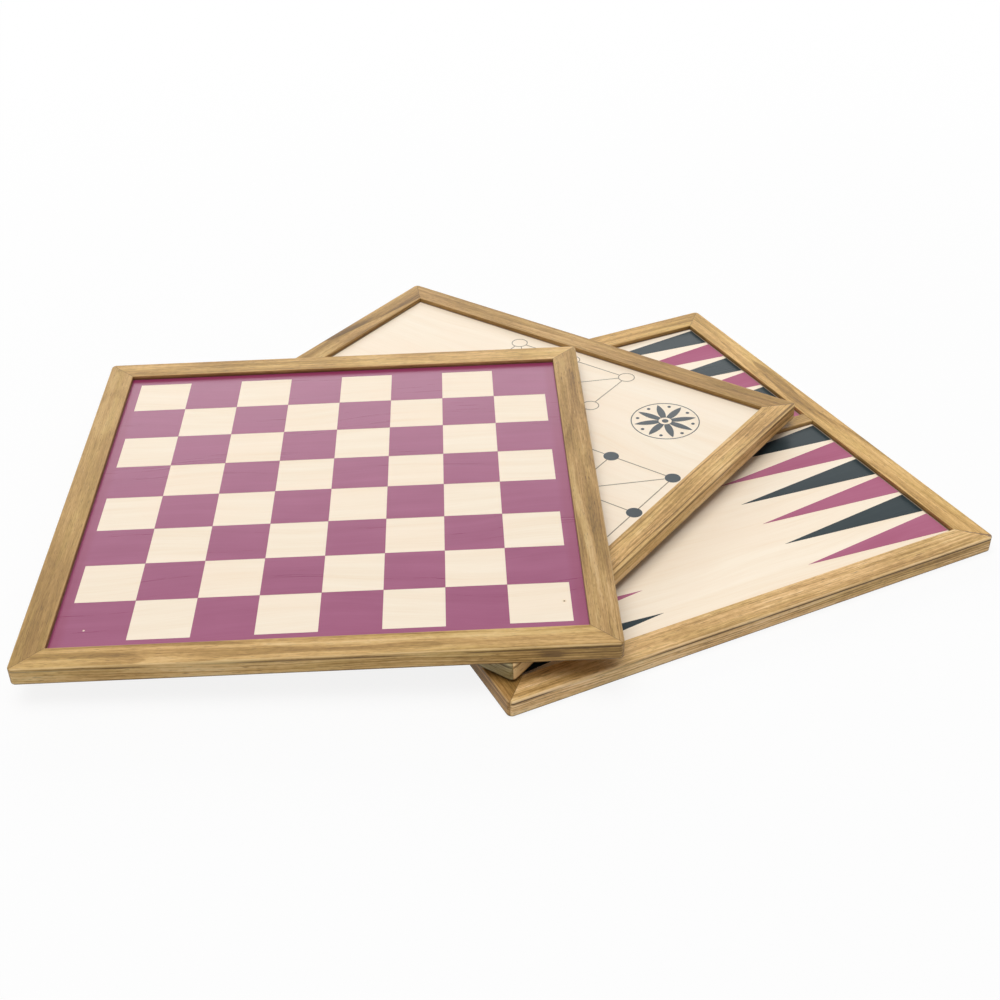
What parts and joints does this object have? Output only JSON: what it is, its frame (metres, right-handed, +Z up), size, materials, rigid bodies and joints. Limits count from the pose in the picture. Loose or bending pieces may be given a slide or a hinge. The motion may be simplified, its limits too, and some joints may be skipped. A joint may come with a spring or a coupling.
{
  "type": "set of stacked game boards",
  "caption": "Wooden-framed game boards fanned out in a stack: backgammon below, a cross-shaped line game in the middle and chess on top.",
  "frame": {"origin": "on the table, under the middle of the whole group's bounding box", "axes": "+X to the right along the chess board's near edge, +Y away from the viewer, +Z up"},
  "size_m": [0.5184, 0.4332, 0.0322],
  "materials": {
    "frame_wood": "stained pine with a thin satin varnish, paler along the worn top edge",
    "panel_wood": "pale sealed plywood, satin",
    "bar_wood": "varnished pine, satin",
    "purple_print": "muted purple screen print on plywood, satin",
    "slate_print": "slate grey screen print on plywood, satin",
    "line_print": "thin grey-brown screen print on plywood, satin",
    "nail_steel": "plain steel strip"
  },
  "bodies": {
    "backgammon_board": {"backgammon_front_rail": "frame_wood", "backgammon_right_rail": "frame_wood", "backgammon_back_rail": "frame_wood", "backgammon_left_rail": "frame_wood", "backgammon_panel": "panel_wood", "backgammon_bar": "bar_wood", "backgammon_dark_points": "slate_print", "backgammon_purple_points": "purple_print", "backgammon_corner_nails": "nail_steel"},
    "line_game_board": {"line_game_front_rail": "frame_wood", "line_game_right_rail": "frame_wood", "line_game_back_rail": "frame_wood", "line_game_left_rail": "frame_wood", "line_game_panel": "panel_wood", "line_game_lines": "line_print", "line_game_spots": "slate_print", "line_game_rosette": "slate_print", "line_game_corner_nails": "nail_steel"},
    "chess_board": {"chess_front_rail": "frame_wood", "chess_right_rail": "frame_wood", "chess_back_rail": "frame_wood", "chess_left_rail": "frame_wood", "chess_panel": "panel_wood", "chess_print": "purple_print", "chess_corner_nails": "nail_steel"}
  },
  "joints": [
    {"name": "line_game_lift", "type": "slide", "parent": "backgammon_board", "child": "line_game_board", "axis": [0, 0, 1], "range_m": [0, 0.1]},
    {"name": "chess_lift", "type": "slide", "parent": "line_game_board", "child": "chess_board", "axis": [0, 0, 1], "range_m": [0, 0.1]}
  ]
}
